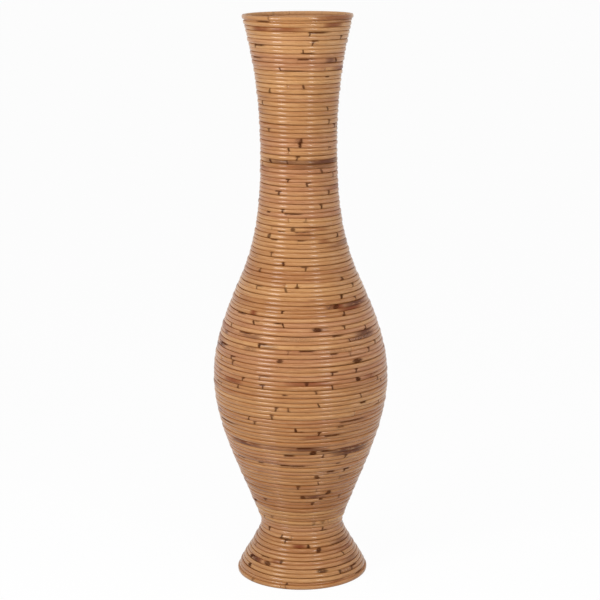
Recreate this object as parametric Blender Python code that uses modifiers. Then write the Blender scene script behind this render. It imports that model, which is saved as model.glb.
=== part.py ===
"""Rattan floor vase: round canes wound in one rising coil on a frame of rattan ribs and hoops.

Metres, +Z up. The origin is the centre of the foot, on the floor.
"""

import math

import bpy
import numpy as np

# Outline of the finished vase, to the outside of the canes
HEIGHT = 1.0
FOOT_RADIUS = 0.1176
FOOT_SLOPE = -0.375
WAIST_HEIGHT = 0.0927
WAIST_RADIUS = 0.0737
WAIST_ROUNDING = 0.008
WAIST_SLOPE_BELOW = -0.20
WAIST_SLOPE_ABOVE = 0.345
BELLY_HEIGHT = 0.3635
BELLY_RADIUS = 0.1553
SHOULDER_HEIGHT = 0.5398
SHOULDER_RADIUS = 0.1058
SHOULDER_SLOPE = -0.443
NECK_HEIGHT = 0.7725
NECK_RADIUS = 0.0675
MOUTH_RADIUS = 0.0960
MOUTH_SLOPE = 0.27

# The winding: canes of one thickness, butted end to end
CANE_DIAMETER = 0.0071
CANE_GAP = 0.0005
CANE_TIP_DIAMETER = 0.002
CANE_COUNT = 36
CANE_JOINT_GAP = 0.0006
COIL_START_RIB = 2
FOOT_FLAT = 0.0005

# The frame inside
RIB_COUNT = 7
RIB_DIAMETER = 0.009
RIB_TOP_DROP = 0.032
RIB_FOOT_STRAIGHT = 0.008
RIB_SPLICE_HEIGHT = 0.265
RIB_SPLICE_GAP = 0.0006
HOOP_DIAMETER = 0.008
MOUTH_HOOP_DROP = 0.046
NECK_HOOP_HEIGHT = 0.73
BELLY_HOOP_HEIGHT = 0.372
WAIST_HOOP_HEIGHT = 0.112
FOOT_HOOP_HEIGHT = 0.034
BOARD_THICKNESS = 0.005
SEAT_GAP = 0.0006

# Facets
SIDES_PER_RIB = 2
SIDES_PER_TURN = SIDES_PER_RIB * RIB_COUNT
RING_STEPS = 4 * RIB_COUNT
RIB_BOW = 0.0003
PROFILE_STEPS = 400

CANE_RADIUS = CANE_DIAMETER / 2
RIB_RADIUS = RIB_DIAMETER / 2
HOOP_RADIUS = HOOP_DIAMETER / 2
FOOT_RING_HEIGHT = CANE_RADIUS - FOOT_FLAT
RIM_RING_HEIGHT = HEIGHT - CANE_RADIUS
BOARD_TOP = FOOT_RING_HEIGHT + CANE_RADIUS
TURN = 2 * math.pi


def waist_lift(distance):
    """How far rounding the crease at the waist moves the outline out, so far from the crease."""
    near = np.clip(WAIST_ROUNDING - np.abs(distance), 0.0, None)
    return (WAIST_SLOPE_ABOVE - WAIST_SLOPE_BELOW) * near**2 / (4 * WAIST_ROUNDING)


def cane_stations():
    """Height, radius and slopes below and above, along the middle of the canes."""
    crease = WAIST_RADIUS - CANE_RADIUS - float(waist_lift(0.0))
    return (
        (FOOT_RING_HEIGHT, FOOT_RADIUS - CANE_RADIUS, FOOT_SLOPE, FOOT_SLOPE),
        (WAIST_HEIGHT, crease, WAIST_SLOPE_BELOW, WAIST_SLOPE_ABOVE),
        (BELLY_HEIGHT, BELLY_RADIUS - CANE_RADIUS, 0.0, 0.0),
        (SHOULDER_HEIGHT, SHOULDER_RADIUS - CANE_RADIUS, SHOULDER_SLOPE, SHOULDER_SLOPE),
        (NECK_HEIGHT, NECK_RADIUS - CANE_RADIUS, 0.0, 0.0),
        (RIM_RING_HEIGHT, MOUTH_RADIUS - CANE_RADIUS, MOUTH_SLOPE, MOUTH_SLOPE),
    )


def hermite(low, high, share):
    """Radius between two stations on a cubic that keeps their radii and slopes."""
    span = high[0] - low[0]
    square = share * share
    cube = square * share
    start = (2 * cube - 3 * square + 1) * low[1] + (cube - 2 * square + share) * span * low[3]
    end = (3 * square - 2 * cube) * high[1] + (cube - square) * span * high[2]
    return start + end


def cane_profile():
    """Heights, radii and lengths along the line that the middle of the canes follows."""
    stations = cane_stations()
    heights, radii = [], []
    for low, high in zip(stations, stations[1:]):
        share = np.linspace(0.0, 1.0, PROFILE_STEPS + 1)
        heights.append(low[0] + (high[0] - low[0]) * share)
        radii.append(hermite(low, high, share))
    heights = np.concatenate(heights)
    radii = np.concatenate(radii)
    radii += waist_lift(heights - WAIST_HEIGHT)
    steps = np.hypot(np.diff(heights), np.diff(radii))
    return heights, radii, np.concatenate([[0.0], np.cumsum(steps)])


PROFILE_HEIGHTS, PROFILE_RADII, PROFILE_LENGTHS = cane_profile()


def on_profile(length):
    """Height, radius and lean of the profile, a given length up from the foot ring."""
    reach = CANE_RADIUS / 2
    height = np.interp(length, PROFILE_LENGTHS, PROFILE_HEIGHTS)
    radius = np.interp(length, PROFILE_LENGTHS, PROFILE_RADII)
    ahead = np.interp(length + reach, PROFILE_LENGTHS, PROFILE_RADII)
    behind = np.interp(length - reach, PROFILE_LENGTHS, PROFILE_RADII)
    above = np.interp(length + reach, PROFILE_LENGTHS, PROFILE_HEIGHTS)
    below = np.interp(length - reach, PROFILE_LENGTHS, PROFILE_HEIGHTS)
    return height, radius, math.atan2(ahead - behind, above - below)


def inside_of(heights, radii, distance, height):
    """Radius of the line that lies a set distance inside a profile, at one height."""
    offset = np.abs(heights - height)
    near = offset < distance
    return float(np.min(radii[near] - np.sqrt(distance**2 - offset[near] ** 2)))


def rib_radius_at(height):
    return inside_of(PROFILE_HEIGHTS, PROFILE_RADII, CANE_RADIUS + SEAT_GAP + RIB_RADIUS, height)


class Winding:
    """The coil between the foot ring and the rim ring, tapering into both."""

    def __init__(self):
        self.low = CANE_RADIUS + CANE_GAP / 2
        self.band = PROFILE_LENGTHS[-1] - 2 * self.low
        self.turns = math.floor(self.band / (CANE_DIAMETER + CANE_GAP))
        self.pitch = self.band / self.turns
        tip = (CANE_TIP_DIAMETER + CANE_GAP) / self.pitch
        self.first_side = math.ceil(tip * SIDES_PER_TURN)
        self.last_side = math.floor((self.turns + 1 - tip) * SIDES_PER_TURN)

    def corner(self, side):
        """Position, thickness share and lean where the coil crosses a meridian."""
        turn = side / SIDES_PER_TURN
        top = min(self.pitch * turn, self.band)
        bottom = max(0.0, self.pitch * (turn - 1))
        height, radius, lean = on_profile(self.low + (top + bottom) / 2)
        angle = TURN * (COIL_START_RIB / RIB_COUNT - turn)
        share = min(CANE_RADIUS, (top - bottom - CANE_GAP) / 2) / CANE_RADIUS
        return np.array([radius * math.cos(angle), radius * math.sin(angle), height, share, lean])

    def joints(self):
        """Meridians where one cane ends on a rib and the next begins."""
        sides = np.linspace(self.first_side, self.last_side, CANE_COUNT + 1)
        inner = [SIDES_PER_RIB * round(side / SIDES_PER_RIB) for side in sides[1:-1]]
        return [self.first_side, *inner, self.last_side]

    def past(self, side, distance):
        """A place on the straight run that follows a meridian, so far along it."""
        here = self.corner(side)
        run = self.corner(side + 1) - here
        return here + run * distance / np.linalg.norm(run[:3])

    def cane(self, first, last):
        """Corners of one cane. Canes meet just past the middle of a rib, square end to square end."""
        meeting = RIB_RADIUS / 2
        corners = [self.corner(side) for side in range(first + 1, last + 1)]
        if first == self.first_side:
            start = self.corner(first)
        else:
            start = self.past(first, meeting + CANE_JOINT_GAP / 2)
        if last != self.last_side:
            corners.append(self.past(last, meeting - CANE_JOINT_GAP / 2))
        return [start, *corners]

    def least_gap(self):
        """Smallest clear gap between the coil and its own next turn."""
        gaps = []
        for side in range(self.first_side, self.last_side - SIDES_PER_TURN + 1):
            here = self.corner(side)
            above = self.corner(side + SIDES_PER_TURN)
            gaps.append(math.dist(here[:3], above[:3]) - CANE_RADIUS * (here[3] + above[3]))
        return min(gaps)


WINDING = Winding()


def clear_scene():
    for obj in list(bpy.data.objects):
        bpy.data.objects.remove(obj, do_unlink=True)


def rattan(name, tone, roughness):
    """A varnished cane material of its own for one piece."""
    material = bpy.data.materials.new(name)
    material.use_nodes = True
    shader = material.node_tree.nodes["Principled BSDF"]
    shader.inputs["Base Color"].default_value = (*tone, 1.0)
    shader.inputs["Roughness"].default_value = roughness
    shader.inputs["Metallic"].default_value = 0.0
    return material


def new_piece(name, data, tone, roughness):
    """An object in the vase's collection, with its own material, under the vase's origin."""
    piece = bpy.data.objects.new(name, data)
    COLLECTION.objects.link(piece)
    piece.parent = ORIGIN
    if not data.materials:
        data.materials.append(None)
    piece.material_slots[0].link = "OBJECT"
    piece.material_slots[0].material = rattan(name + "_finish", tone, roughness)
    return piece


def tube(name, radius, resolution, closed=False):
    """A round curve with filled ends, ready for one spline."""
    curve = bpy.data.curves.new(name, "CURVE")
    curve.dimensions = "3D"
    curve.bevel_depth = radius
    curve.bevel_resolution = resolution
    curve.use_fill_caps = not closed
    spline = curve.splines.new("POLY")
    spline.use_cyclic_u = closed
    return curve, spline


def fill_spline(spline, points):
    spline.points.add(len(points) - 1)
    for point, (x, y, z) in zip(spline.points, points):
        point.co = (x, y, z, 1.0)


def turned(name, outline):
    """A ring or disc: an outline of (radius, height) corners swept about the axis."""
    mesh = bpy.data.meshes.new(name)
    corners = [(radius, 0.0, height) for radius, height in outline]
    closed = outline[0][0] > 0.0
    edges = [(i, i + 1) for i in range(len(corners) - 1)]
    if closed:
        edges.append((len(corners) - 1, 0))
    mesh.from_pydata(corners, edges, [])
    return mesh


def sweep_round(piece):
    screw = piece.modifiers.new("turned", "SCREW")
    screw.axis = "Z"
    screw.steps = RING_STEPS
    screw.render_steps = RING_STEPS
    screw.use_merge_vertices = True
    screw.merge_threshold = 0.00001
    screw.use_smooth_shade = True


def add_canes():
    """The canes of the coil, foot to rim, each starting where the last one ends."""
    tones = ((0.46, 0.25, 0.10), (0.40, 0.20, 0.075), (0.52, 0.30, 0.13), (0.36, 0.19, 0.09))
    joints = WINDING.joints()
    for index, (first, last) in enumerate(zip(joints, joints[1:])):
        name = f"cane_{index + 1:02d}"
        curve, spline = tube(name, CANE_RADIUS, 0)
        curve.twist_mode = "Z_UP"
        corners = WINDING.cane(first, last)
        fill_spline(spline, [corner[:3] for corner in corners])
        for point, (*_, share, lean) in zip(spline.points, corners):
            point.radius = share
            point.tilt = -lean
        new_piece(name, curve, tones[index % len(tones)], 0.38)


def ring_outline(radius, height, flat):
    """Six-sided cane section, wound top to bottom on its outer side, with its base cut flat."""
    half = CANE_RADIUS * math.sqrt(3) / 2
    base = height - CANE_RADIUS + flat
    chord = math.sqrt(CANE_RADIUS**2 - (CANE_RADIUS - flat) ** 2)
    low = height - CANE_RADIUS / 2
    high = height + CANE_RADIUS / 2
    outer = [(radius, height + CANE_RADIUS), (radius + half, high), (radius + half, low)]
    under = [(radius + chord, base), (radius - chord, base)] if flat else [(radius, base)]
    inner = [(radius - half, low), (radius - half, high)]
    return outer + under + inner


def add_rings():
    """The level cane under the coil, planed flat to stand on, and the level cane at the rim."""
    foot = ring_outline(FOOT_RADIUS - CANE_RADIUS, FOOT_RING_HEIGHT, FOOT_FLAT)
    sweep_round(new_piece("foot_ring", turned("foot_ring", foot), (0.38, 0.21, 0.09), 0.40))
    rim = ring_outline(MOUTH_RADIUS - CANE_RADIUS, RIM_RING_HEIGHT, 0.0)
    sweep_round(new_piece("rim_ring", turned("rim_ring", rim), (0.42, 0.23, 0.09), 0.36))


def thinned(points, error):
    """As few of a line's points as keep its straight runs within an error of it."""
    kept = [points[0]]
    start = 0
    while start < len(points) - 1:
        end = start + 1
        while end + 1 < len(points) and bow(points[start : end + 2]) < error:
            end += 1
        kept.append(points[end])
        start = end
    return kept


def bow(points):
    """How far a line of points stands off the straight run between its ends."""
    run = points[-1] - points[0]
    offsets = points - points[0]
    across = offsets[:, 0] * run[1] - offsets[:, 1] * run[0]
    return np.max(np.abs(across)) / np.linalg.norm(run)


def rib_points(bottom, top):
    """The line of a rib between two heights, in the XZ plane."""
    heights = np.linspace(bottom, top, PROFILE_STEPS)
    line = np.array([(rib_radius_at(height), height) for height in heights])
    return [(radius, 0.0, height) for radius, height in thinned(line, RIB_BOW)]


def add_ribs():
    """Upright poles that carry the coil, at every other meridian of it, each butted from two lengths."""
    foot = BOARD_TOP + SEAT_GAP
    lower = rib_points(foot + RIB_FOOT_STRAIGHT, RIB_SPLICE_HEIGHT - RIB_SPLICE_GAP / 2)
    upper = rib_points(RIB_SPLICE_HEIGHT + RIB_SPLICE_GAP / 2, HEIGHT - RIB_TOP_DROP)
    straight_foot = (lower[0][0], 0.0, foot)
    for name, points in (("lower_rib", [straight_foot, *lower]), ("upper_rib", upper)):
        curve, spline = tube(name, RIB_RADIUS, 1)
        fill_spline(spline, points)
        for index in range(RIB_COUNT):
            rib = new_piece(f"{name}_{index + 1}", curve, (0.50, 0.33, 0.17), 0.55)
            rib.rotation_euler.z = index * TURN / RIB_COUNT


def add_hoops():
    """Hoops inside the ribs that hold them round."""
    heights = np.linspace(BOARD_TOP + RIB_FOOT_STRAIGHT, HEIGHT - RIB_TOP_DROP, PROFILE_STEPS)
    radii = np.array([rib_radius_at(height) for height in heights])
    inset = RIB_RADIUS + SEAT_GAP + HOOP_RADIUS
    places = {
        "mouth_hoop": HEIGHT - MOUTH_HOOP_DROP,
        "neck_hoop": NECK_HOOP_HEIGHT,
        "belly_hoop": BELLY_HOOP_HEIGHT,
        "waist_hoop": WAIST_HOOP_HEIGHT,
        "foot_hoop": FOOT_HOOP_HEIGHT,
    }
    for name, height in places.items():
        radius = inside_of(heights, radii, inset, height)
        angles = [TURN * corner / SIDES_PER_TURN for corner in range(SIDES_PER_TURN)]
        curve, spline = tube(name, HOOP_RADIUS, 1, closed=True)
        curve.twist_mode = "Z_UP"
        fill_spline(spline, [(radius * math.cos(a), radius * math.sin(a), height) for a in angles])
        new_piece(name, curve, (0.47, 0.30, 0.15), 0.55)


def add_board():
    """The plywood disc that closes the foot, flush with the top of the foot ring."""
    radius = FOOT_RADIUS - CANE_DIAMETER - SEAT_GAP
    under = BOARD_TOP - BOARD_THICKNESS
    outline = [(0.0, BOARD_TOP), (radius, BOARD_TOP), (radius, under), (0.0, under)]
    board = new_piece("base_board", turned("base_board", outline), (0.45, 0.31, 0.18), 0.65)
    sweep_round(board)


clear_scene()
COLLECTION = bpy.data.collections.new("rattan_floor_vase")
bpy.context.scene.collection.children.link(COLLECTION)
ORIGIN = bpy.data.objects.new("vase_origin", None)
COLLECTION.objects.link(ORIGIN)

add_rings()
add_canes()
add_ribs()
add_hoops()
add_board()
print(f"{WINDING.turns + 1} turns, least gap between turns {WINDING.least_gap() * 1000:.2f} mm")
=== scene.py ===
import math
import random

import bmesh
import bpy
import numpy as np
from mathutils import Matrix, Vector


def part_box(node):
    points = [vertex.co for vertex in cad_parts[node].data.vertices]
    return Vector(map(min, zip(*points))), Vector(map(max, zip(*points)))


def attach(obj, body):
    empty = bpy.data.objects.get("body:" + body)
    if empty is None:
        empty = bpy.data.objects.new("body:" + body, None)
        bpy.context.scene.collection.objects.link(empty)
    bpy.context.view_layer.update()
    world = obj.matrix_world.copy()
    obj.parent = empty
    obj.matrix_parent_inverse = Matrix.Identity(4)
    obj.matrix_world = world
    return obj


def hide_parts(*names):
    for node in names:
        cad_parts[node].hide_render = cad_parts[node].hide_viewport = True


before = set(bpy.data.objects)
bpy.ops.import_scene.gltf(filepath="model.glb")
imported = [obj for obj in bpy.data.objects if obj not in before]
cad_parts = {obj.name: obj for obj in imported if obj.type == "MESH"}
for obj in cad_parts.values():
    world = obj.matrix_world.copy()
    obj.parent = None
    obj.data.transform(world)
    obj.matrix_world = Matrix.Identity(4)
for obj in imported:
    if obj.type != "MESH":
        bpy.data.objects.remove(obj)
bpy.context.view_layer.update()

fullTurn = 2 * math.pi

# the vase's outline, metres, outside of the canes: the same driving sizes as the solids
outline = {
    "height": 1.0,
    "footRadius": 0.1176,
    "footSlope": -0.375,
    "waistHeight": 0.0927,
    "waistRadius": 0.0737,
    "waistRounding": 0.008,
    "waistSlopeBelow": -0.20,
    "waistSlopeAbove": 0.345,
    "bellyHeight": 0.3635,
    "bellyRadius": 0.1553,
    "shoulderHeight": 0.5398,
    "shoulderRadius": 0.1058,
    "shoulderSlope": -0.443,
    "neckHeight": 0.7725,
    "neckRadius": 0.0675,
    "mouthRadius": 0.0960,
    "mouthSlope": 0.27,
    "steps": 6000,
}

# one long coil of cane, cut into lengths that meet on the ribs
coil = {
    "caneDiameter": 0.0071,
    "caneGap": 0.0005,
    "tipDiameter": 0.002,
    "featherRoom": 0.0002,  # left where the shaved ends stop, past the solids' tips
    "canes": 36,
    "ribs": 7,
    "startRib": 2,
    "sidesPerTurn": 14,  # the solids' chords, which the joints are counted in
    "sidesPerRib": 2,
    "footFlat": 0.0005,  # planed off under the foot ring
    "samplesPerTurn": 360,  # of the line that lengths are measured on
    "pointsPerTurn": 144,
    "jointGap": 0.00035,
    "jointPastRib": 0.00225,  # canes meet this far past the middle of a rib
}

# form of a cane: its section is a little taller than deep, so that the turns press on each other
caneForm = {
    "halfHeight": 0.0039,
    "halfDepth": 0.00345,
    "power": 2.7,  # 2 makes an ellipse, more a squarer section
    "points": 12,
    "endChamfer": 0.0005,
    "chamferShare": 0.86,
    "taperFill": 0.05,  # closes the slit beside the tapered ends
    "swayUp": 0.00018,
    "swayOut": 0.00022,
    "swayWaves": 5,
    "swayRate": (4.0, 30.0),  # radians of a wave in one turn
    "swayPeak": 3,  # the waves together seldom go past this
    "swaySeed": 12,
    "packingWaves": (2.3, 3.7, 5.9, 9.1),  # turns from one thick turn to the next, in each wave
    "packingDrift": 0.00030,  # how far each of these waves moves the turns
    "packingEase": 4.0,  # turns over which this starts and ends
    "packingSeed": 13,
}

# the photograph's camera, in metres and pixels
photo = {
    "distance": 3.0122,
    "height": 1.1529,
    "aimHeight": 0.499,
    "focalPixels": 1740.0,
    "framePixels": 600,
    "roll": -0.0086,
    "sensor": 36.0,
    "farthest": 300.0,
    "leastFacing": 0.05,  # of a cane that can be made out
}

caneRadius = coil["caneDiameter"] / 2


def outlineCurve():
    footRing = caneRadius - coil["footFlat"]
    rimRing = outline["height"] - caneRadius
    slopeChange = outline["waistSlopeAbove"] - outline["waistSlopeBelow"]
    rounding = outline["waistRounding"]
    shoulder = outline["shoulderSlope"]
    crease = outline["waistRadius"] - caneRadius - slopeChange * rounding / 4
    stations = [  # height, radius of the canes' middle, slope below, slope above
        (footRing, outline["footRadius"] - caneRadius, 0.0, outline["footSlope"]),
        (outline["waistHeight"], crease, outline["waistSlopeBelow"], outline["waistSlopeAbove"]),
        (outline["bellyHeight"], outline["bellyRadius"] - caneRadius, 0.0, 0.0),
        (outline["shoulderHeight"], outline["shoulderRadius"] - caneRadius, shoulder, shoulder),
        (outline["neckHeight"], outline["neckRadius"] - caneRadius, 0.0, 0.0),
        (rimRing, outline["mouthRadius"] - caneRadius, outline["mouthSlope"], 0.0),
    ]
    heights = np.linspace(footRing, rimRing, outline["steps"])
    radii = np.zeros_like(heights)
    for lower, upper in zip(stations[:-1], stations[1:]):
        span = upper[0] - lower[0]
        inside = (heights >= lower[0]) & (heights <= upper[0])
        t = (heights[inside] - lower[0]) / span
        radii[inside] = (
            (2 * t**3 - 3 * t**2 + 1) * lower[1]
            + (t**3 - 2 * t**2 + t) * span * lower[3]
            + (3 * t**2 - 2 * t**3) * upper[1]
            + (t**3 - t**2) * span * upper[2]
        )
    near = np.clip(rounding - np.abs(heights - outline["waistHeight"]), 0.0, None)
    radii += slopeChange * near**2 / (4 * rounding)
    steps = np.hypot(np.diff(heights), np.diff(radii))
    lengths = np.concatenate([[0.0], np.cumsum(steps)])
    leans = np.arctan2(np.gradient(radii), np.gradient(heights))
    return {"height": heights, "radius": radii, "length": lengths, "lean": leans}


curve = outlineCurve()
low = (coil["caneDiameter"] + coil["caneGap"]) / 2  # the coil starts this far above the foot ring
band = curve["length"][-1] - 2 * low
turnCount = math.floor(band / (coil["caneDiameter"] + coil["caneGap"]))
pitch = band / turnCount
tipTurn = (coil["tipDiameter"] + coil["caneGap"]) / pitch
featherTurn = coil["featherRoom"] / pitch


def alongOutline(length):
    return [np.interp(length, curve["length"], curve[key]) for key in ("radius", "height", "lean")]


def coilAt(turn):  # angle, radius, height, lean and thickness share, turn by turn from the foot
    turn = np.asarray(turn, dtype=float)
    top = np.minimum(pitch * turn, band)
    bottom = np.maximum(0.0, pitch * (turn - 1))
    radius, height, lean = alongOutline(low + (top + bottom) / 2)
    angle = fullTurn * (coil["startRib"] / coil["ribs"] - turn)
    thickness = np.minimum(coil["caneDiameter"], top - bottom - coil["caneGap"])
    return angle, radius, height, lean, thickness / coil["caneDiameter"]


sides = coil["sidesPerTurn"]
firstTurn = math.ceil(tipTurn * sides) / sides
lastTurn = math.floor((turnCount + 1 - tipTurn) * sides) / sides


def jointTurns():
    counts = np.linspace(firstTurn, lastTurn, coil["canes"] + 1) * sides
    counts[1:-1] = np.round(counts[1:-1] / coil["sidesPerRib"]) * coil["sidesPerRib"]
    return counts / sides


denseTurns = np.linspace(featherTurn, turnCount + 1 - featherTurn, turnCount * coil["samplesPerTurn"])
denseAngle, denseRadius, denseHeight, denseLean, _ = coilAt(denseTurns)
denseSteps = np.hypot(denseRadius[1:] * np.diff(denseAngle), np.diff(denseHeight))
denseLength = np.concatenate([[0.0], np.cumsum(denseSteps)])
denseLength -= np.interp(firstTurn, denseTurns, denseLength)  # lengths count from the solids' first tip


def turnToLength(turn):
    return np.interp(turn, denseTurns, denseLength)


coilLength = turnToLength(lastTurn)


def addObject(name, data):
    item = bpy.data.objects.new(name, data)
    bpy.context.scene.collection.objects.link(item)
    return item


def meshObject(name, work):
    mesh = bpy.data.meshes.new(name)
    work.to_mesh(mesh)
    work.free()
    return addObject(name, mesh)


# camera at the photograph's angle, worked out for a square frame
def placeCamera():
    eye = Vector((0.0, -photo["distance"], photo["height"]))
    aim = Vector((0.0, 0.0, photo["aimHeight"]))
    data = bpy.data.cameras.new("photoCamera")
    data.sensor_width = photo["sensor"]
    data.lens = photo["focalPixels"] / photo["framePixels"] * photo["sensor"]
    data.clip_end = photo["farthest"]
    camera = addObject("photoCamera", data)
    turnTo = (aim - eye).to_track_quat("-Z", "Y").to_matrix().to_4x4()
    camera.matrix_world = Matrix.Translation(eye) @ turnTo @ Matrix.Rotation(photo["roll"], 4, "Z")
    bpy.context.scene.camera = camera


placeCamera()
print("camera placed")


def around(angle, radius, height):  # points at these angles, radii and heights about the vase's axis
    return np.stack(np.broadcast_arrays(radius * np.cos(angle), radius * np.sin(angle), height), axis=1)


# where the front of the coil shows in the photograph's frame
def frontOfCoil():
    reach = denseRadius + caneForm["halfDepth"] * np.cos(denseLean)
    height = denseHeight - caneForm["halfDepth"] * np.sin(denseLean)
    place = around(denseAngle, reach, height)
    eye = np.array([0.0, -photo["distance"], photo["height"]])
    forward = np.array([0.0, photo["distance"], photo["aimHeight"] - photo["height"]])
    forward /= np.linalg.norm(forward)
    up = np.array([0.0, -forward[2], forward[1]])
    ray = place - eye
    scale = photo["focalPixels"] / (ray @ forward)
    across = ray[:, 0] * scale
    down = -(ray @ up) * scale
    cos, sin = math.cos(photo["roll"]), math.sin(photo["roll"])
    middle = photo["framePixels"] / 2
    x = middle + cos * across - sin * down
    y = middle + sin * across + cos * down
    outward = around(denseAngle, np.cos(denseLean), -np.sin(denseLean))
    facing = -(outward * ray).sum(axis=1) / np.linalg.norm(ray, axis=1)
    return x, y, facing


frontX, frontY, frontFacing = frontOfCoil()
pixelSize = photo["distance"] / photo["focalPixels"]  # metres of the vase in one pixel


def turnAtPixel(x, y):
    away = (frontX - x) ** 2 + (frontY - y) ** 2
    away[frontFacing <= photo["leastFacing"]] = np.inf
    return denseTurns[np.argmin(away)]


# marks on the front of the canes, in pixels of the photograph: x, y, and a smudge's half
# width, a tail's or dash's reach to the right (below nought to the left), or a stain's length and strength
frontMarks = {
    "ring": [
        (341, 36), (262, 104), (328, 110), (329, 120), (335, 126), (289, 148), (322, 171), (321, 205),
        (282, 213), (271, 254), (353, 285), (297, 285), (355, 297), (344, 313), (283, 325), (231, 325),
        (345, 328), (366, 328), (350, 341), (233, 362), (357, 372), (377, 377), (243, 379), (333, 387),
        (238, 387), (317, 393), (361, 395), (318, 404), (276, 411), (272, 416), (249, 418), (255, 422),
        (319, 435), (318, 485), (298, 488), (269, 530), (343, 553), (287, 582),
    ],
    "block": [
        (336, 59), (304, 87), (270, 89), (268, 132), (301, 139), (300, 144), (270, 163), (307, 184),
        (329, 192), (338, 237), (283, 265), (260, 270), (343, 279), (286, 289), (342, 297), (282, 310),
        (253, 322), (342, 328), (376, 343), (258, 346), (368, 347), (231, 357), (381, 379), (306, 384),
        (288, 410), (296, 430), (346, 458), (312, 503), (308, 548), (281, 564), (340, 571),
    ],
    "smudge": [
        (293, 229, 2.2), (269, 238, 2.2), (329, 305, 3.0), (336, 305, 2.5), (318, 331, 4.5),
        (279, 360, 3.0), (357, 360, 6.0), (358, 378, 3.0), (314, 454, 3.5), (317, 476, 2.8),
        (328, 493, 3.0), (303, 498, 2.6), (319, 550, 2.6), (251, 556, 3.0), (250, 564, 3.0),
        (267, 564, 4.0), (322, 569, 5.5),
    ],
    "faint": [
        (333, 174), (336, 480), (338, 496), (272, 517), (314, 524), (346, 568),
    ],
    "tail": [
        (310, 34, 24), (313, 43, 7), (255, 45, 17), (303, 51, 14), (280, 71, 30), (297, 157, 4),
        (287, 163, -6), (288, 179, -3), (307, 184, 5), (279, 195, -6), (306, 270, -6), (343, 279, -4),
        (257, 285, 9), (222, 343, 18), (259, 347, 10), (232, 356, 8), (333, 374, 8), (263, 386, -5),
        (378, 401, -9), (297, 430, 10), (323, 456, -10), (321, 457, 6), (265, 501, 4), (322, 528, 7),
        (281, 538, 12), (285, 542, 8), (251, 556, 10), (352, 568, 14),
    ],
    "dash": [
        (254, 60, 18), (297, 62, 20), (327, 77, 4), (329, 149, 6), (268, 213, 4), (286, 215, 20),
        (279, 233, 8), (296, 235, 16), (272, 239, 8), (297, 243, 16), (238, 314, 14), (255, 322, 8),
        (240, 333, 22), (334, 337, 12), (300, 352, 18), (332, 355, 16), (283, 398, 5), (362, 404, 8),
        (222, 418, 40), (342, 423, 36), (338, 427, 8), (326, 437, 20), (298, 449, 20), (313, 454, 30),
        (285, 456, 12), (238, 457, 30), (258, 463, 8), (336, 465, 6), (282, 467, 34), (344, 470, 8),
        (328, 473, 28), (256, 500, 6), (319, 502, 5), (262, 557, 20),
    ],
    "redStain": [
        (345, 21, 26, 0.4), (334, 25, 26, 0.8), (260, 29, 26, 0.85), (285, 30, 40, 0.7),
        (318, 229, 30, 0.5), (304, 235, 18, 0.5), (300, 239, 40, 0.4), (325, 243, 14, 0.6),
        (338, 305, 16, 0.9), (254, 312, 10, 0.9), (298, 352, 60, 0.3), (370, 376, 20, 0.5),
        (233, 379, 30, 0.7), (308, 385, 50, 0.7), (314, 438, 30, 0.6), (345, 546, 34, 0.5),
        (299, 547, 16, 0.9), (257, 560, 14, 0.8), (276, 563, 12, 0.6), (338, 581, 20, 0.5),
        (310, 585, 60, 0.2), (352, 308, 36, 0.9), (285, 169, 50, 0.35),
    ],
    "greyStain": [
        (331, 59, 16, 0.8), (325, 163, 60, 1.0), (285, 163, 60, 0.8), (356, 303, 40, 1.0),
        (227, 330, 10, 0.8), (320, 331, 22, 0.4), (366, 333, 36, 1.0), (251, 335, 26, 0.6),
        (222, 343, 24, 0.9), (268, 348, 20, 0.4), (245, 444, 50, 0.9), (275, 450, 40, 0.5),
        (305, 451, 50, 0.8), (350, 449, 60, 1.0), (352, 453, 50, 1.0), (315, 498, 24, 0.9),
        (340, 541, 30, 0.6), (350, 557, 30, 0.5), (318, 167, 50, 0.6), (305, 455, 50, 0.4),
    ],
    "mottle": [
        (298, 140, 8, 0.6), (329, 305, 8, 1.0), (363, 335, 44, 1.0), (297, 339, 40, 0.3),
        (250, 347, 18, 0.5), (338, 353, 30, 0.3), (262, 461, 60, 0.4), (292, 466, 40, 0.3),
        (330, 472, 24, 0.3), (255, 558, 22, 0.8), (347, 568, 26, 0.5),
    ],
}

# knots and stains left to chance, in metres along the cane
caneMarks = {
    "seed": 11,
    "hiddenBelow": 0.12,  # canes that face the camera less than this count as hidden
    "firstKnot": 0.05,
    "knotSpacing": (0.11, 0.40),
    "chanceKinds": ("ring", "ring", "ring", "ring", "block", "tail", "tail", "tail", "smudge", "dash"),
    "frontKinds": ("ring", "tail"),
    "frontShare": 0.12,  # of the chance knots on the front, where the photograph's own marks are
    "strong": (0.8, 1.0),
    "weak": (0.3, 0.6),
    "edges": (-1, 1, 1),  # 1 is the upper edge of the cane
    "ringHalf": (0.0011, 0.0019),
    "blockHalf": (0.0017, 0.0028),
    "smudgeHalf": (0.0035, 0.0070),
    "faintHalf": (0.0015, 0.0025),
    "tailHalf": (0.0011, 0.0019),
    "dashHalf": (0.00005, 0.0001),  # next to nothing across the cane
    "tailReach": (0.008, 0.035),
    "leastReach": 1e-6,  # marks without a tail have this, as the shader divides by it
    # half length of the painted shade on the coil's two tips
    "tipHalf": 0.014,
    "slant": 0.45,
    "apart": 0.016,  # marks nearer than this become one
    "firstStain": 0.1,
    "stainSpacing": (0.5, 1.6),
    "stainHalf": (0.02, 0.10),
    "leastStain": 0.006,
    "stainStrength": (0.4, 1.0),
    "stainKinds": ("redStain", "greyStain", "mottle"),
    "chanceStains": (0, 0, 1, 1, 2),  # places in the list of kinds
    "stainPower": 0.7,
    "toneSeed": 3,
    "toneMiddle": 0.5,
    "toneSpread": 0.8,
    "toneFall": 0.4,  # the canes are darker towards the foot
    "blush": (-0.2, 0.2),
}


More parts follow.
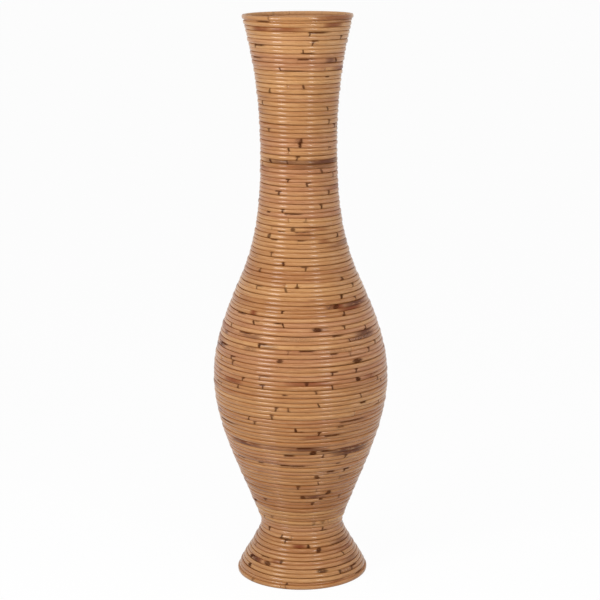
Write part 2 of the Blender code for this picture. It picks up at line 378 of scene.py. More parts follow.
def isHidden(place):
    return np.interp(place, denseLength, frontFacing) < caneMarks["hiddenBelow"]


def coilKnots(chance):
    knots = []
    for kind in ("ring", "block", "smudge", "faint", "tail", "dash"):
        for mark in frontMarks[kind]:
            reach = mark[2] * pixelSize if kind in ("tail", "dash") else 0.0
            knot = newKnot(chance, turnToLength(turnAtPixel(*mark[:2])), kind, -reach, kind != "faint")
            if kind == "smudge":
                knot["half"] = mark[2] * pixelSize
            knots.append(knot)
    # a dark smudge on both tips of the coil: painted shade for the slit beside each tapered end
    for tip in (0.0, coilLength):
        knots.append({**newKnot(chance, tip, "smudge", 0.0, True), "half": caneMarks["tipHalf"]})
    place = caneMarks["firstKnot"]
    while place < coilLength:
        hidden = isHidden(place)
        if hidden or chance.random() < caneMarks["frontShare"]:
            kind = chance.choice(caneMarks["chanceKinds" if hidden else "frontKinds"])
            reach = chance.uniform(*caneMarks["tailReach"]) * chance.choice((-1, 1))
            reach = reach if kind in ("tail", "dash") else 0.0
            knots.append(newKnot(chance, place, kind, reach, hidden))
        place += chance.uniform(*caneMarks["knotSpacing"])
    return mergedKnots(sorted(knots, key=lambda knot: knot["place"]))


def mergedKnots(knots):  # marks that nearly meet become one, as wide as the wider and with the longer tail
    merged = knots[:1]
    for knot in knots[1:]:
        last = merged[-1]
        if knot["place"] - last["place"] > caneMarks["apart"]:
            merged.append(knot)
            continue
        stronger = max(last, knot, key=lambda one: one["strength"])
        longer = max(last, knot, key=lambda one: abs(one["reach"]))
        merged[-1] = {**stronger, "half": max(last["half"], knot["half"]), "reach": longer["reach"]}
    return merged


def newKnot(chance, place, kind, reach, strong):
    half = chance.uniform(*caneMarks[kind + "Half"])
    strength = chance.uniform(*caneMarks["strong" if strong else "weak"])
    slant = chance.uniform(-1, 1) * caneMarks["slant"]
    edge = 1 if kind == "dash" else chance.choice(caneMarks["edges"])
    return {"place": place, "half": half, "strength": strength, "reach": reach, "edge": edge, "slant": slant}


def coilStains(chance):
    stains = []
    for channel, kind in enumerate(caneMarks["stainKinds"]):
        for x, y, reach, strength in frontMarks[kind]:
            stains.append((turnToLength(turnAtPixel(x, y)), reach * pixelSize / 2, channel, strength))
    place = caneMarks["firstStain"]
    while place < coilLength:
        if isHidden(place):
            half = chance.uniform(*caneMarks["stainHalf"])
            channel = chance.choice(caneMarks["chanceStains"])
            stains.append((place, half, channel, chance.uniform(*caneMarks["stainStrength"])))
        place += chance.uniform(*caneMarks["stainSpacing"])
    return stains


# a closed loop, which is swept along the canes, ribs and hoops
def sectionLoop(name, halfHeight, halfDepth, power, points):
    data = bpy.data.curves.new(name, "CURVE")
    data.dimensions = "2D"
    spline = data.splines.new("POLY")
    spline.points.add(points - 1)
    spline.use_cyclic_u = True
    places = []
    for index, point in enumerate(spline.points):
        angle = fullTurn * index / points
        cos, sin = math.cos(angle), math.sin(angle)
        depth = halfDepth * math.copysign(abs(cos) ** (2 / power), cos)
        height = halfHeight * math.copysign(abs(sin) ** (2 / power), sin)
        point.co = (depth, height, 0.0, 1.0)
        places.append((depth, height))
    return addObject(name, data), np.array(places)


def caneLoop(name, heightShare):
    height = caneForm["halfHeight"] * heightShare
    return sectionLoop(name, height, caneForm["halfDepth"], caneForm["power"], caneForm["points"])


# sweeps a section along points and gives the mesh its own coordinates: along the cane, inward and up
def sweepCane(name, section, places, points, tilts, shares, along, closed=False):
    data = bpy.data.curves.new(name, "CURVE")
    data.dimensions = "3D"
    data.bevel_mode = "OBJECT"
    data.bevel_object = section
    data.twist_mode = "Z_UP"
    data.use_fill_caps = not closed
    spline = data.splines.new("POLY")
    spline.points.add(len(points) - 1)
    spline.use_cyclic_u = closed
    flat = np.ones((len(points), 4))
    flat[:, :3] = points
    spline.points.foreach_set("co", flat.ravel())
    spline.points.foreach_set("tilt", np.broadcast_to(tilts, len(points)).astype(float))
    spline.points.foreach_set("radius", np.broadcast_to(shares, len(points)).astype(float))
    sweep = addObject(name + ".sweep", data)
    bpy.context.view_layer.update()
    mesh = bpy.data.meshes.new_from_object(sweep.evaluated_get(bpy.context.evaluated_depsgraph_get()))
    mesh.name = name
    bpy.data.objects.remove(sweep)
    bpy.data.curves.remove(data)
    across = np.tile(places, (len(mesh.vertices) // len(places), 1))
    setVectors(mesh, "cane", [ringsToVertices(along, len(places), closed), *across.T])
    return addObject(name, mesh)


# spreads one value for each ring over its vertices: the caps come first, the far one before the near one
def ringsToVertices(values, ringSize, closed=False):
    values = np.asarray(values, dtype=float)
    if not closed:
        values = np.concatenate([values[-1:], values[:1], values])
    return np.repeat(values, ringSize)


def setVectors(mesh, name, columns):
    layer = mesh.attributes.new(name, "FLOAT_VECTOR", "POINT")
    layer.data.foreach_set("vector", np.stack(columns, axis=1).ravel())


def finishPiece(piece, material, slotName, *nodes):
    piece.data.materials.clear()
    piece.data.materials.append(material)
    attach(piece, "root")
    if nodes:
        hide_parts(*nodes)


# short calls for shader nodes: a number is set on the socket, a socket is linked to it
def setSockets(tree, node, values):
    for key, value in values.items():
        if isinstance(value, bpy.types.NodeSocket):
            tree.links.new(value, node.inputs[key])
        else:
            node.inputs[key].default_value = value


def addNode(tree, kind, values, **settings):
    node = tree.nodes.new(kind)
    for key, value in settings.items():
        setattr(node, key, value)
    setSockets(tree, node, values)
    return node


def sums(tree, operation, first, second=0.0, third=0.0, clamp=False):
    values = {0: first, 1: second, 2: third}
    return addNode(tree, "ShaderNodeMath", values, operation=operation, use_clamp=clamp).outputs[0]


def product(tree, first, *others):
    for other in others:
        first = sums(tree, "MULTIPLY", first, other)
    return first


def fade(tree, value, start, end):  # 0 at start, 1 at end, smooth between
    values = {"Value": value, "From Min": start, "From Max": end}
    return addNode(tree, "ShaderNodeMapRange", values, interpolation_type="SMOOTHSTEP").outputs["Result"]


def mixColours(tree, share, first, second):
    values = {0: share, 6: first, 7: second}
    return addNode(tree, "ShaderNodeMix", values, data_type="RGBA", clamp_factor=True).outputs[2]


def cover(tree, colour, share, strength, paint):
    return mixColours(tree, product(tree, share, strength), colour, paint)


noiseRoughness = 0.55
noiseMiddle = 0.5


def noise(tree, vector, stretch, detail):  # stretch is the waves in a metre, on each axis of the vector
    scaled = addNode(tree, "ShaderNodeVectorMath", {0: vector, 1: stretch}, operation="MULTIPLY")
    values = {"Vector": scaled.outputs[0], "Scale": 1.0, "Detail": detail, "Roughness": noiseRoughness}
    return addNode(tree, "ShaderNodeTexNoise", values).outputs["Fac"]


def bump(tree, height, strength, distance):
    values = {"Height": height, "Strength": strength, "Distance": distance}
    return addNode(tree, "ShaderNodeBump", values).outputs[0]


def attribute(tree, name):  # the whole vector and its three parts
    vector = addNode(tree, "ShaderNodeAttribute", {}, attribute_name=name).outputs["Vector"]
    return vector, addNode(tree, "ShaderNodeSeparateXYZ", {0: vector}).outputs


def newMaterial(name):
    material = bpy.data.materials.new(name)
    material.use_nodes = True
    tree = material.node_tree
    return material, tree, tree.nodes["Principled BSDF"]


def srgb(red, green, blue):  # screen values 0 to 255 as a linear colour
    steps = [value / 255 for value in (red, green, blue)]
    return [step / 12.92 if step <= 0.04045 else ((step + 0.055) / 1.055) ** 2.4 for step in steps] + [1.0]


# tones of the cane: slow drift between two browns, some blush, long streaks and fine grain
# here and below, a grain is a noise's stretch and detail, and a fade runs from no share to a full one
caneTones = {
    "honey": srgb(195, 145, 92),
    "tan": srgb(165, 110, 63),
    "pink": srgb(182, 126, 94),
    "paleStreak": srgb(214, 170, 126),
    "darkStreak": srgb(130, 68, 28),
    "knot": srgb(62, 22, 0),
    "driftGrain": ((3.0, 60.0, 60.0), 2.0),
    "driftSpread": 2.2,
    "pinkGrain": ((3.0, 40.0, 40.0), 2.0),
    "pinkFade": (0.48, 0.78),
    "pinkShare": 0.4,
    "paleFade": (0.54, 0.72),
    "paleShare": 0.55,
    "darkFade": (0.47, 0.30),
    "darkShare": 0.5,
    "fineFade": (0.5, 0.34),
    "fineShare": 0.28,
}


def toneColour(tree, vector, tone, streak, fine):
    drift = sums(tree, "SUBTRACT", noise(tree, vector, *caneTones["driftGrain"]), noiseMiddle)
    share = sums(tree, "MULTIPLY_ADD", drift, caneTones["driftSpread"], tone["X"], clamp=True)
    colour = mixColours(tree, share, caneTones["honey"], caneTones["tan"])
    blush = sums(tree, "ADD", noise(tree, vector, *caneTones["pinkGrain"]), tone["Y"])
    layers = [
        ("pink", blush, "pink"),
        ("pale", streak, "paleStreak"),
        ("dark", streak, "darkStreak"),
        ("fine", fine, "darkStreak"),
    ]
    for kind, value, paint in layers:
        share = fade(tree, value, *caneTones[kind + "Fade"])
        colour = cover(tree, colour, share, caneTones[kind + "Share"], caneTones[paint])
    return colour


# stains run along the cane in broken streaks, or as a mottle of specks
stainLook = {
    "red": srgb(112, 42, 10),
    "redFade": (0.20, 0.44),
    "grey": srgb(92, 50, 34),
    "greyFade": (0.24, 0.48),
    "streakShare": 0.95,
    "mottleShare": 0.35,
    "speckFade": (0.42, 0.52),
    "speckShare": 0.9,
}


def stainColour(tree, colour, stain, broken, speck):
    red = product(tree, stain["X"], fade(tree, broken, *stainLook["redFade"]))
    grey = product(tree, stain["Y"], fade(tree, broken, *stainLook["greyFade"]))
    specks = product(tree, stain["Z"], fade(tree, speck, *stainLook["speckFade"]))
    colour = cover(tree, colour, red, stainLook["streakShare"], stainLook["red"])
    colour = cover(tree, colour, grey, stainLook["streakShare"], stainLook["grey"])
    colour = cover(tree, colour, stain["Z"], stainLook["mottleShare"], caneTones["darkStreak"])
    colour = cover(tree, colour, specks, stainLook["speckShare"], caneTones["knot"])
    return colour, sums(tree, "MAXIMUM", red, grey)


# knots: a dark ring across the cane, wandering a little, most with a blot and some with a tail along one edge
knotLook = {
    "wanderGrain": ((260.0, 420.0, 420.0), 3.0),
    "wander": 0.0030,
    "wideFade": (0.0010, 0.0030),  # half widths
    "widePointed": 0.6,  # wide marks thin out to the edges
    "pointedPower": 2.0,
    "softEdge": 0.0006,
    "ringFade": (0.45, -0.35),
    "raggedFade": (0.28, 0.44),
    "blotReach": (0.0056, 0.0012),
    "blotRise": (0.0, 0.0026),
    "blotSlant": (-0.35, -0.1),
    "tailEnd": (1.0, 0.5),
    "tailStart": (-0.01, 0.03),
    "tailRise": (0.0004, 0.0022),
    "tailBreaks": (0.32, 0.44),
}


def knotShares(tree, vector, parts, acrossCane, knot, tail, broken, speck):  # of the rings, and of tails too
    wander = sums(tree, "SUBTRACT", noise(tree, vector, *knotLook["wanderGrain"]), noiseMiddle)
    offset = sums(tree, "MULTIPLY_ADD", tail["Z"], parts["Z"], knot["X"])
    away = sums(tree, "ABSOLUTE", sums(tree, "MULTIPLY_ADD", wander, knotLook["wander"], offset))
    wide = fade(tree, knot["Y"], *knotLook["wideFade"])
    pointed = sums(tree, "POWER", acrossCane, knotLook["pointedPower"])
    narrowing = product(tree, wide, knotLook["widePointed"], pointed)
    half = product(tree, knot["Y"], sums(tree, "SUBTRACT", 1.0, narrowing))
    soft = sums(tree, "ADD", knot["Y"], knotLook["softEdge"])
    beyond = sums(tree, "DIVIDE", sums(tree, "SUBTRACT", away, half), soft)
    ragged = fade(tree, speck, *knotLook["raggedFade"])
    ragged = sums(tree, "MAXIMUM", sums(tree, "SUBTRACT", 1.0, wide), ragged)
    ring = product(tree, fade(tree, beyond, *knotLook["ringFade"]), knot["Z"], ragged)
    edgeward = product(tree, parts["Z"], tail["Y"])
    blot = product(
        tree,
        fade(tree, away, *knotLook["blotReach"]),
        fade(tree, edgeward, *knotLook["blotRise"]),
        fade(tree, tail["Z"], *knotLook["blotSlant"]),
        knot["Z"],
    )
    ring = sums(tree, "MAXIMUM", ring, blot)
    reach = sums(tree, "DIVIDE", knot["X"], tail["X"])
    tailShare = product(
        tree,
        fade(tree, reach, *knotLook["tailEnd"]),
        fade(tree, reach, *knotLook["tailStart"]),
        fade(tree, edgeward, *knotLook["tailRise"]),
        fade(tree, broken, *knotLook["tailBreaks"]),
        knot["Z"],
    )
    return ring, sums(tree, "MAXIMUM", ring, tailShare)


# the grooves between turns are darkened: partly painted shade, partly dust and soot that vary along the cane
grooves = {
    # brown of the painted groove shade and its dust
    "colour": srgb(158, 86, 22),
    "fade": (0.62, 0.96),  # of the half height of the cane
    "dustGrain": ((16.0, 0.0, 0.0), 3.0),
    "dustFade": (0.36, 0.64),
    "dustShare": 0.3,
    # painted shade that every groove gets, dust or not
    "leastGrooveShade": 0.05,
    "sootGrain": ((9.0, 0.0, 130.0), 2.0),
    "sootFade": (0.58, 0.70),
    "sootShare": 0.45,
}


def grooveShares(tree, vector, acrossCane):  # of the groove, and of the painted shade and dust in it
    groove = fade(tree, acrossCane, *grooves["fade"])
    dustAndShade = fade(tree, noise(tree, vector, *grooves["dustGrain"]), *grooves["dustFade"])
    dustAndShade = sums(tree, "MULTIPLY_ADD", dustAndShade, grooves["dustShare"], grooves["leastGrooveShade"])
    soot = fade(tree, noise(tree, vector, *grooves["sootGrain"]), *grooves["sootFade"])
    dustAndShade = sums(tree, "MULTIPLY_ADD", soot, grooves["sootShare"], dustAndShade)
    return groove, sums(tree, "MULTIPLY", groove, dustAndShade, clamp=True)


# the cane as a whole: no varnish on knots and inside, little on stains and in grooves
varnish = {
    "streakGrain": ((28.0, 700.0, 700.0), 3.0),
    "fineGrain": ((120.0, 2600.0, 2600.0), 2.0),
    "brokenGrain": ((60.0, 420.0, 420.0), 4.0),
    "speckGrain": ((330.0, 900.0, 900.0), 2.0),
    "dirtShare": 0.95,
    "bareInside": srgb(228, 179, 133),  # never varnished, so paler
    "insideFade": (-0.0010, 0.0010),
    "insideShare": 0.6,
    "roughness": 0.26,
    "streakRoughness": 0.22,
    "dirtRoughness": 0.35,
    "coat": 0.58,
    "coatRoughness": 0.17,
    "dullShare": 0.75,
    "specular": 0.06,
    "fineRelief": 0.25,
    "knotRelief": -0.8,
    "grainDepth": 0.12,
    "bumpDistance": 0.0006,
}


def caneMaterial():
    material, tree, shader = newMaterial("varnishedCane")
    vector, parts = attribute(tree, "cane")
    knot, tail, stain, tone = [attribute(tree, name)[1] for name in ("knot", "tail", "stain", "tone")]
    grains = ("streakGrain", "fineGrain", "brokenGrain", "speckGrain")
    streak, fine, broken, speck = [noise(tree, vector, *varnish[grain]) for grain in grains]
    acrossCane = sums(tree, "DIVIDE", sums(tree, "ABSOLUTE", parts["Z"]), caneForm["halfHeight"])
    colour = toneColour(tree, vector, tone, streak, fine)
    colour, stained = stainColour(tree, colour, stain, broken, speck)
    ring, dirt = knotShares(tree, vector, parts, acrossCane, knot, tail, broken, speck)
    colour = cover(tree, colour, dirt, varnish["dirtShare"], caneTones["knot"])
    # painted shade, with dust and soot, darkens the grooves between turns
    groove, dustAndShade = grooveShares(tree, vector, acrossCane)
    colour = mixColours(tree, dustAndShade, colour, grooves["colour"])
    inside = fade(tree, parts["Y"], *varnish["insideFade"])
    colour = cover(tree, colour, inside, varnish["insideShare"], varnish["bareInside"])
    roughness = sums(tree, "MULTIPLY_ADD", streak, varnish["streakRoughness"], varnish["roughness"])
    roughness = sums(tree, "MULTIPLY_ADD", dirt, varnish["dirtRoughness"], roughness)
    dull = product(tree, sums(tree, "MAXIMUM", groove, stained), varnish["dullShare"])
    bare = sums(tree, "MAXIMUM", sums(tree, "MAXIMUM", dirt, inside), dull)
    coat = sums(tree, "MULTIPLY_ADD", bare, -varnish["coat"], varnish["coat"])
    relief = sums(tree, "MULTIPLY_ADD", fine, varnish["fineRelief"], streak)
    relief = sums(tree, "MULTIPLY_ADD", ring, varnish["knotRelief"], relief)
    setSockets(tree, shader, {
        "Base Color": colour,
        "Roughness": roughness,
        "Coat Weight": coat,
        "Coat Roughness": varnish["coatRoughness"],
        "Specular IOR Level": varnish["specular"],
        "Normal": bump(tree, relief, varnish["grainDepth"], varnish["bumpDistance"]),
    })
    return material


def nearestKnot(knots, lengths):  # signed distance and traits of the nearest knot, for each ring of a cane
    places = np.array([knot["place"] for knot in knots])
    nearest = np.abs(lengths[:, None] - places[None, :]).argmin(axis=1)
    traits = {key: np.array([knot[key] for knot in knots])[nearest] for key in knots[0]}
    traits["offset"] = lengths - traits["place"]
    change = np.nonzero(np.diff(nearest))[0]
    traits["strength"][change] = 0.0
    traits["strength"][change + 1] = 0.0
    return traits


def stainShares(stains, lengths):
    shares = np.zeros((len(caneMarks["stainKinds"]), len(lengths)))
    for place, half, channel, strength in stains:
        away = np.clip(np.abs(lengths - place) / max(half, caneMarks["leastStain"]), 0.0, 1.0)
        here = strength * (1 - away**2) ** caneMarks["stainPower"]
        shares[channel] = np.maximum(shares[channel], here)
    return shares


def markCane(mesh, lengths, tone, knots, stains, ringSize):
    knot = nearestKnot(knots, lengths)
    least = caneMarks["leastReach"]
    reach = np.where(np.abs(knot["reach"]) < least, least, knot["reach"])
    layers = {
        "knot": (knot["offset"], knot["half"], knot["strength"]),
        "tail": (reach, knot["edge"], knot["slant"]),
        "stain": stainShares(stains, lengths),
        "tone": [np.full(len(lengths), value) for value in tone],
    }
    for name, columns in layers.items():
        setVectors(mesh, name, [ringsToVertices(column, ringSize) for column in columns])


def packing(turns):  # canes differ in thickness: how far turns move, and how much thicker they are
    chance = random.Random(caneForm["packingSeed"])
    moved, spread = np.zeros_like(turns), np.zeros_like(turns)
    for wave in caneForm["packingWaves"]:
        phase = chance.uniform(0.0, fullTurn)
        moved += caneForm["packingDrift"] * np.sin(fullTurn * turns / wave + phase)
        spread += caneForm["packingDrift"] * fullTurn / wave * np.cos(fullTurn * turns / wave + phase)
    ends = np.minimum(turns - firstTurn, lastTurn - turns) / caneForm["packingEase"]
    ease = np.clip(ends, 0.0, 1.0)
    return moved * ease, 1 + spread * ease / pitch


def sway(turns, chance, size):  # slow random rise and fall along the whole coil
    total = np.zeros_like(turns)
    for _ in range(caneForm["swayWaves"]):
        total += np.sin(turns * chance.uniform(*caneForm["swayRate"]) + chance.uniform(0.0, fullTurn))
    return total * size / caneForm["swayPeak"]


def caneLine(lengths):  # middle of the cane, its outward direction, lean and thickness share, along the coil
    turns = np.interp(lengths, denseLength, denseTurns)
    angle, radius, height, lean, share = coilAt(turns)
    chance = random.Random(caneForm["swaySeed"])
    moved, thicker = packing(turns)
    up = moved + sway(turns, chance, caneForm["swayUp"])
    out = sway(turns, chance, caneForm["swayOut"])
    radius = radius + up * np.sin(lean) + out * np.cos(lean)
    height = height + up * np.cos(lean) - out * np.sin(lean)
    middle = around(angle, radius, height)
    outward = around(angle, np.cos(lean), -np.sin(lean))
    share = share + caneForm["taperFill"] * (1 - share)
    return middle, outward, lean, share * thicker


def woundCanes(material):
    chance = random.Random(caneMarks["seed"])
    knots = coilKnots(chance)
    stains = coilStains(chance)
    toneChance = random.Random(caneMarks["toneSeed"])
    section, places = caneLoop("caneLoop", 1.0)
    joints = jointTurns()
    for index in range(coil["canes"]):
        start, end = denseLength[0], denseLength[-1]
        if index > 0:
            start = turnToLength(joints[index]) + coil["jointPastRib"] + coil["jointGap"] / 2
        if index < coil["canes"] - 1:
            end = turnToLength(joints[index + 1]) + coil["jointPastRib"] - coil["jointGap"] / 2
        rings = np.linspace(start, end, int((joints[index + 1] - joints[index]) * coil["pointsPerTurn"]))
        chamfer = caneForm["endChamfer"]
        rings = np.concatenate([[start, start + chamfer], rings[1:-1], [end - chamfer, end]])
        middle, _, lean, shares = caneLine(rings)
        shares[[0, -1]] *= caneForm["chamferShare"]
        name = f"cane_{index + 1:02d}"
        piece = sweepCane("wound_" + name, section, places, middle, -lean, shares, rings)
        fall = (0.5 - index / coil["canes"]) * caneMarks["toneFall"]
        shade = caneMarks["toneMiddle"] + toneChance.uniform(-0.5, 0.5) * caneMarks["toneSpread"] + fall
        tone = (shade, toneChance.uniform(*caneMarks["blush"]), 0.0)
        markCane(piece.data, rings, tone, knots, stains, len(places))
        finishPiece(piece, material, "varnished_cane", name)
    bpy.data.objects.remove(section)


varnishedCane = caneMaterial()
woundCanes(varnishedCane)
print("canes wound:", coil["canes"], "lengths,", turnCount, "turns")


# a pin through each cane end at the butt joints, dulled by rust
pin = {
    "headRadius": 0.0006,
    "headEdge": 0.0004,
    "headHeight": 0.0006,
    "proud": 0.00015,
    "fromEnd": 0.002,
    "sides": 8,
    "steel": srgb(70, 48, 34),
    "rustGrain": ((300.0, 300.0, 300.0), 2.0),
    "rustFade": (0.4, 0.6),
    "roughness": 0.8,
    "specular": 0.1,
}


def pinMaterial():
    material, tree, shader = newMaterial("pinSteel")
    vector = addNode(tree, "ShaderNodeTexCoord", {}).outputs["Object"]
    rust = fade(tree, noise(tree, vector, *pin["rustGrain"]), *pin["rustFade"])
    setSockets(tree, shader, {
        "Base Color": mixColours(tree, rust, pin["steel"], grooves["colour"]),
        "Roughness": pin["roughness"],
        "Specular IOR Level": pin["specular"],
    })
    return material


def jointPins():
    work = bmesh.new()
    for turn in jointTurns()[1:-1]:
        joint = turnToLength(turn) + coil["jointPastRib"]
        middles, outwards, _, shares = caneLine(joint + pin["fromEnd"] * np.array([-1, 1]))
        for middle, outward, share in zip(middles, outwards, shares):
            outward = Vector(outward)
            lift = caneForm["halfDepth"] * share + pin["proud"] - pin["headHeight"] / 2
            turnOut = outward.to_track_quat("Z", "Y").to_matrix().to_4x4()
            bmesh.ops.create_cone(
                work,
                cap_ends=True,
                segments=pin["sides"],
                radius1=pin["headRadius"],
                radius2=pin["headEdge"],
                depth=pin["headHeight"],
                matrix=Matrix.Translation(Vector(middle) + outward * lift) @ turnOut,
            )
    finishPiece(meshObject("joint_pins", work), pinMaterial(), "varnished_cane")


jointPins()
print("joint pins set")


# level rings that close the foot and the mouth
ringCane = {
    "points": 192,
    "footJoint": 1.392 * math.pi,
    "rimJoint": 0.55 * math.pi,
    "heightShare": 0.97,  # of the wound canes' height
    "seed": 5,
    "grainStart": (100, 200),
    "firstKnot": 0.06,
    "knotSpacing": (0.15, 0.3),
    "knotKinds": ("ring", "block"),
    "tone": (0.55, 0.0, 0.0),
    "stainAt": 0.4,  # of the way round
    "stain": (0.05, 0, 0.6),  # half length, place in the list of kinds and strength
}


def levelRing(name, end, jointAngle, flatBelow, material, chance):  # at the outline's first or last point
    radius, height = curve["radius"][end], curve["height"][end]
    section, places = caneLoop(name + "Loop", ringCane["heightShare"])
    total = fullTurn * radius
    rings = np.linspace(0.0, total - coil["jointGap"], ringCane["points"])
    angle = jointAngle - rings / radius
    points = around(angle, radius, height)
    along = rings + chance.uniform(*ringCane["grainStart"])
    piece = sweepCane("level_" + name, section, places, points, 0.0, 1.0, along)
    bpy.data.objects.remove(section)
    knots = []
    place = ringCane["firstKnot"]
    while place < total:
        knots.append(newKnot(chance, place, chance.choice(ringCane["knotKinds"]), 0.0, False))
        place += chance.uniform(*ringCane["knotSpacing"])
    stains = [(total * ringCane["stainAt"], *ringCane["stain"])]
    markCane(piece.data, rings, ringCane["tone"], knots, stains, len(places))
    if flatBelow is not None:
        for vertex in piece.data.vertices:
            vertex.co.z = max(vertex.co.z, flatBelow)
    finishPiece(piece, material, "varnished_cane", name)


ringChance = random.Random(ringCane["seed"])
levelRing("foot_ring", 0, ringCane["footJoint"], 0.0, varnishedCane, ringChance)
levelRing("rim_ring", -1, ringCane["rimJoint"], None, varnishedCane, ringChance)
print("foot and rim rings made")


# bare rattan of the ribs and hoops
rattan = {
    "pale": srgb(205, 165, 115),
    "brown": srgb(150, 105, 66),
    "knot": srgb(74, 46, 26),
    "driftGrain": ((7.0, 80.0, 80.0), 3.0),
    "driftFade": (0.3, 0.7),
    "fibreGrain": ((40.0, 1200.0, 1200.0), 3.0),
    "fibreFade": (0.55, 0.3),
    "knotSpacing": 0.22,
    "knotDrift": 0.05,
    "knotFade": (0.002, 0.0008),
    "roughness": 0.5,
    "fibreRoughness": 0.25,
    "fibreDepth": 0.2,
    "bumpDistance": 0.0006,
}


def frameMaterial():
    material, tree, shader = newMaterial("frameRattan")
    vector, parts = attribute(tree, "cane")
    drift = noise(tree, vector, *rattan["driftGrain"])
    fibre = noise(tree, vector, *rattan["fibreGrain"])
    share = fade(tree, drift, *rattan["driftFade"])
    colour = mixColours(tree, share, rattan["pale"], rattan["brown"])
    colour = mixColours(tree, fade(tree, fibre, *rattan["fibreFade"]), colour, rattan["brown"])
    along = sums(tree, "MULTIPLY_ADD", drift, rattan["knotDrift"], parts["X"])
    fromKnot = sums(tree, "PINGPONG", along, rattan["knotSpacing"] / 2)
    colour = mixColours(tree, fade(tree, fromKnot, *rattan["knotFade"]), colour, rattan["knot"])
    roughness = sums(tree, "MULTIPLY_ADD", fibre, rattan["fibreRoughness"], rattan["roughness"])
    setSockets(tree, shader, {
        "Base Color": colour,
        "Roughness": roughness,
        "Normal": bump(tree, fibre, rattan["fibreDepth"], rattan["bumpDistance"]),
    })
    return material


# upright ribs, which the canes are pinned to, and level hoops that hold the ribs
ribbing = {
    "ribDiameter": 0.009,
    "ribStep": 0.0065,
    "endInset": 0.0005,
    "spliceHeight": 0.265,
    "spliceGap": 0.0006,
    "hoopDiameter": 0.008,
    "hoopPoints": 96,
    "sectionPower": 2.0,
    "sectionPoints": 12,
    "seatGap": 0.0006,
    "ribGrainStep": 3.0,  # so that no two ribs have the same grain
    "hoopGrainStep": 40.0,  # the same for hoops, times their height
}


def insideOf(depth, heights):  # radius of a line that lies this far inside the canes' middle
    radii = []
    for height in heights:
        rise = height - curve["height"]
        close = np.abs(rise) < depth
        radii.append(np.min(curve["radius"][close] - np.sqrt(depth**2 - rise[close] ** 2)))
    return np.array(radii)


ribRadius = ribbing["ribDiameter"] / 2
hoopRadius = ribbing["hoopDiameter"] / 2
ribDepth = caneRadius + ribbing["seatGap"] + ribRadius


def frameLoop(name, radius):
    return sectionLoop(name, radius, radius, ribbing["sectionPower"], ribbing["sectionPoints"])


def uprightRibs(material):
    section, places = frameLoop("ribLoop", ribRadius)
    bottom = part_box("lower_rib_1")[0][2] + ribbing["endInset"]
    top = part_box("upper_rib_1")[1][2] - ribbing["endInset"]
    below = ribbing["spliceHeight"] - ribbing["spliceGap"] / 2
    above = ribbing["spliceHeight"] + ribbing["spliceGap"] / 2
    for half, start, end in (("lower", bottom, below), ("upper", above, top)):
        heights = np.linspace(start, end, int((end - start) / ribbing["ribStep"]))
        radii = insideOf(ribDepth, heights)
        along = np.concatenate([[0.0], np.cumsum(np.hypot(np.diff(heights), np.diff(radii)))])
        for index in range(coil["ribs"]):
            angle = fullTurn * index / coil["ribs"]
            points = around(angle, radii, heights)
            name = f"{half}_rib_{index + 1}"
            grain = start + along + ribbing["ribGrainStep"] * index
            piece = sweepCane("peeled_" + name, section, places, points, 0.0, 1.0, grain)
            finishPiece(piece, material, "frame_rattan", name)
    bpy.data.objects.remove(section)


def innerHoops(material):
    section, places = frameLoop("hoopLoop", hoopRadius)
    for name in ("mouth_hoop", "neck_hoop", "belly_hoop", "waist_hoop", "foot_hoop"):
        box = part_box(name)
        height = (box[0][2] + box[1][2]) / 2
        radius = box[1][0] - hoopRadius
        angles = np.linspace(0.0, fullTurn, ribbing["hoopPoints"], endpoint=False)
        points = around(angles, radius, height)
        grain = radius * angles + ribbing["hoopGrainStep"] * height
        piece = sweepCane("round_" + name, section, places, points, 0.0, 1.0, grain, closed=True)
        finishPiece(piece, material, "frame_rattan", name)
    bpy.data.objects.remove(section)


frameRattan = frameMaterial()
uprightRibs(frameRattan)
innerHoops(frameRattan)
print("ribs and hoops made")


# plywood disc that closes the foot
board = {
    "pale": srgb(214, 182, 136),
    "brown": srgb(176, 134, 88),
    "glueLine": srgb(110, 76, 46),
    "figureGrain": ((9.0, 70.0, 9.0), 4.0),
    "figureBands": 6.0,
    "poreGrain": ((120.0, 1400.0, 300.0), 2.0),
    "poreFade": (0.45, 0.3),
    "glueFade": (0.0003, 0.0001),
    "roughness": 0.5,
    "poreRoughness": 0.2,
    "poreDepth": 0.15,
    "bumpDistance": 0.0005,
    "plies": 3,
    "edgeBevel": 0.0006,
    "bevelSteps": 2,
    "sharpAngle": 1.0,  # radians, from which an edge is bevelled
    "edgeSteps": 96,
}


def plywoodMaterial(bottom, top):
    material, tree, shader = newMaterial("plywood")
    vector = addNode(tree, "ShaderNodeTexCoord", {}).outputs["Object"]
    figure = noise(tree, vector, *board["figureGrain"])
    pores = noise(tree, vector, *board["poreGrain"])
    bands = sums(tree, "PINGPONG", product(tree, figure, board["figureBands"]), 0.5)
    colour = mixColours(tree, fade(tree, bands, 0.0, 0.5), board["pale"], board["brown"])
    colour = mixColours(tree, fade(tree, pores, *board["poreFade"]), colour, board["brown"])
    level = addNode(tree, "ShaderNodeSeparateXYZ", {0: vector}).outputs["Z"]
    ply = (top - bottom) / board["plies"]
    fromGlue = sums(tree, "PINGPONG", sums(tree, "SUBTRACT", level, bottom), ply / 2)
    glue = product(
        tree,
        fade(tree, fromGlue, *board["glueFade"]),
        fade(tree, level, bottom, bottom + ply),
        fade(tree, level, top, top - ply),
    )
    roughness = sums(tree, "MULTIPLY_ADD", pores, board["poreRoughness"], board["roughness"])
    setSockets(tree, shader, {
        "Base Color": mixColours(tree, glue, colour, board["glueLine"]),
        "Roughness": roughness,
        "Normal": bump(tree, pores, board["poreDepth"], board["bumpDistance"]),
    })
    return material


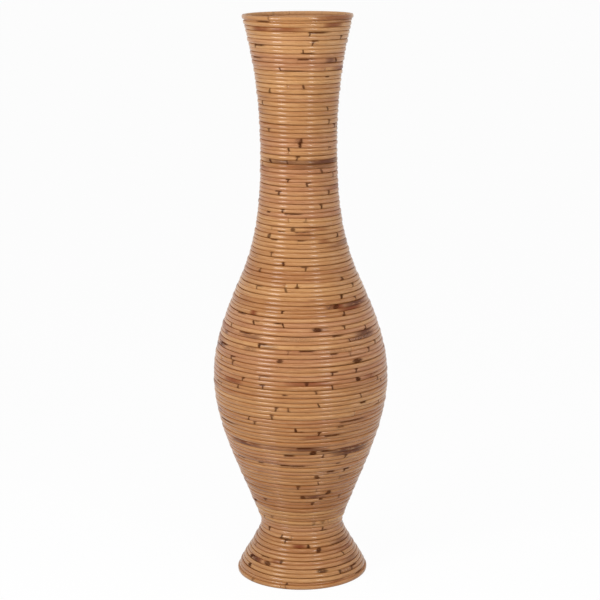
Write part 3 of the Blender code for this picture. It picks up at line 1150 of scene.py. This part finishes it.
def baseBoard():
    lowest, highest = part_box("base_board")
    work = bmesh.new()
    bmesh.ops.create_cone(
        work,
        cap_ends=True,
        segments=board["edgeSteps"],
        radius1=highest[0],
        radius2=highest[0],
        depth=highest[2] - lowest[2],
        matrix=Matrix.Translation((0.0, 0.0, (lowest[2] + highest[2]) / 2)),
    )
    work.normal_update()
    rims = [edge for edge in work.edges if edge.calc_face_angle(0.0) > board["sharpAngle"]]
    bmesh.ops.bevel(
        work,
        geom=rims,
        offset=board["edgeBevel"],
        affect="EDGES",
        segments=board["bevelSteps"],
        profile=0.5,
    )
    disc = meshObject("foot_board", work)
    finishPiece(disc, plywoodMaterial(lowest[2], highest[2]), "plywood", "base_board")


baseBoard()
print("base board made")


# white floor, and soft light from two tall strips, a lamp above and a weak one at the right
studio = {
    "floorHalf": 80.0,
    "floorShown": 0.98,  # floor colour as the camera sees it
    "floorBounce": 0.58,  # and as it lights the vase
    "shownWhite": 0.96,  # share of plain white that the camera sees in the floor
    "worldLight": 0.355,
    "strips": [  # place, width, height, watts
        ((-1.2, -1.14, 1.0), 0.6, 0.85, 19.0),
        ((1.0, -1.5, 1.0), 0.38, 0.85, 12.4),
        ((0.0, -0.8, 2.2), 1.4, 1.2, 5.5),
        ((1.9, -0.2, 0.9), 0.8, 1.2, 3.5),
    ],
    "stripAim": 0.8,  # height that all of them point at
}


def seenDirectly(tree):  # 1 for rays that the camera or gloss sends out
    path = addNode(tree, "ShaderNodeLightPath", {}).outputs
    return sums(tree, "MAXIMUM", path["Is Camera Ray"], path["Is Glossy Ray"])


def plainGrey(value):
    return [value] * 3 + [1.0]


def whiteFloor():
    work = bmesh.new()
    bmesh.ops.create_grid(work, x_segments=1, y_segments=1, size=studio["floorHalf"])
    floor = meshObject("floor", work)
    material, tree, unused = newMaterial("floorWhite")
    tree.nodes.remove(unused)
    seen = seenDirectly(tree)
    colour = mixColours(tree, seen, plainGrey(studio["floorBounce"]), plainGrey(studio["floorShown"]))
    matt = addNode(tree, "ShaderNodeBsdfDiffuse", {"Color": colour}).outputs[0]
    glow = addNode(tree, "ShaderNodeEmission", {"Color": plainGrey(1.0), "Strength": 1.0}).outputs[0]
    share = product(tree, seen, studio["shownWhite"])
    mix = addNode(tree, "ShaderNodeMixShader", {0: share, 1: matt, 2: glow}).outputs[0]
    setSockets(tree, tree.nodes["Material Output"], {"Surface": mix})
    floor.data.materials.append(material)


def softLight():
    for place, width, height, watts in studio["strips"]:
        data = bpy.data.lights.new("strip", "AREA")
        data.shape = "RECTANGLE"
        data.size = width
        data.size_y = height
        data.energy = watts
        lamp = addObject("strip", data)
        aim = Vector((0.0, 0.0, studio["stripAim"])) - Vector(place)
        lamp.matrix_world = Matrix.Translation(place) @ aim.to_track_quat("-Z", "Y").to_matrix().to_4x4()
    world = bpy.data.worlds.new("studioWorld")
    world.use_nodes = True
    tree = world.node_tree
    light = studio["worldLight"]
    strength = sums(tree, "MULTIPLY_ADD", seenDirectly(tree), 1.0 - light, light)
    setSockets(tree, tree.nodes["Background"], {"Strength": strength, "Color": plainGrey(1.0)})
    bpy.context.scene.world = world


whiteFloor()
softLight()
bpy.context.scene.view_settings.view_transform = "Standard"
print("studio set")
